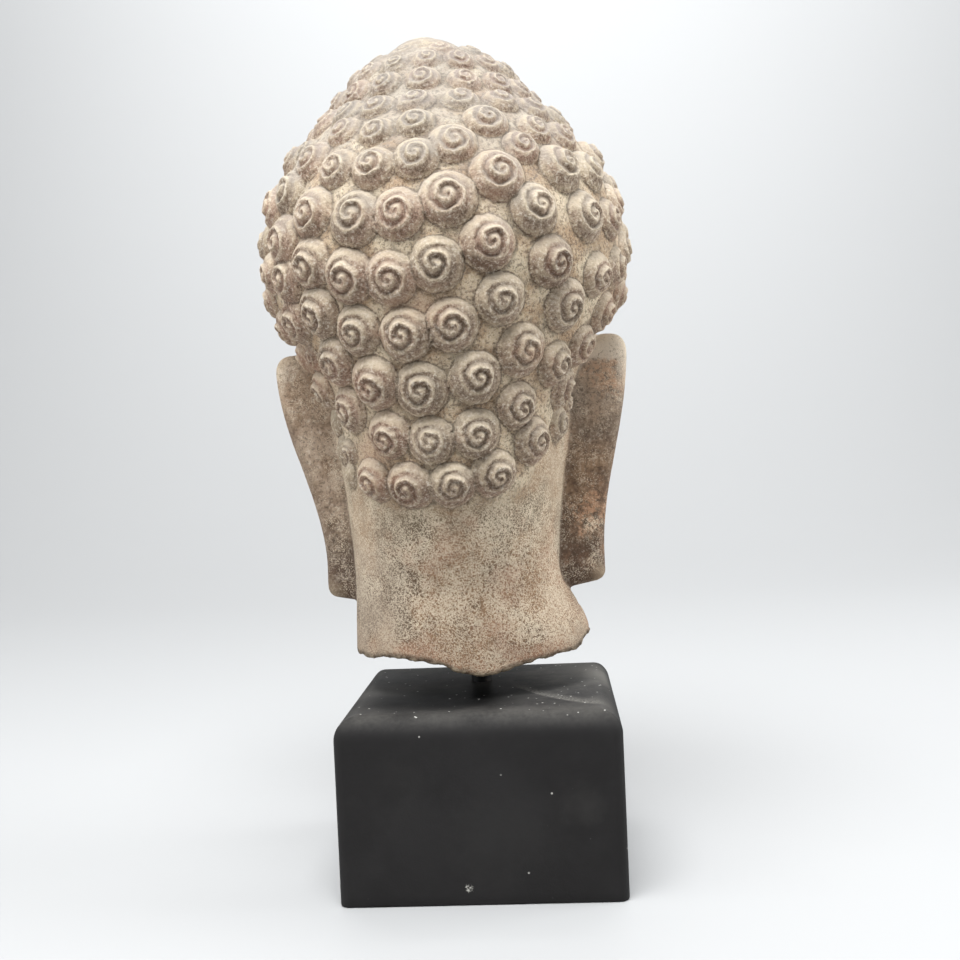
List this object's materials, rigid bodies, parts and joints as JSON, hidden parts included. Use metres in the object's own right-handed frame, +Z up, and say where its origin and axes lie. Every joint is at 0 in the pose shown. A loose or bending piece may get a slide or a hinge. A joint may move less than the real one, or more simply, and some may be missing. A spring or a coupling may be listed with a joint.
{
  "type": "stone buddha head on stand",
  "caption": "Life-size carved stone Buddha head with snail-shell curls, a cranial bump and long ears, broken off at the neck, on a steel rod over a square black block.",
  "frame": {"origin": "middle of the block's underside", "axes": "+Z up; the face looks along -Y; +X is the figure's left"},
  "size_m": [0.2127, 0.2395, 0.4693],
  "materials": {
    "stone": "weathered carved stone with pale dust, brown patina and rusty stains",
    "rod": "black steel rod",
    "block": "satin black paint, a little dusty"
  },
  "bodies": {
    "root": {"stone_head": "stone", "mounting_rod": "rod", "base_block": "block"}
  },
  "joints": []
}
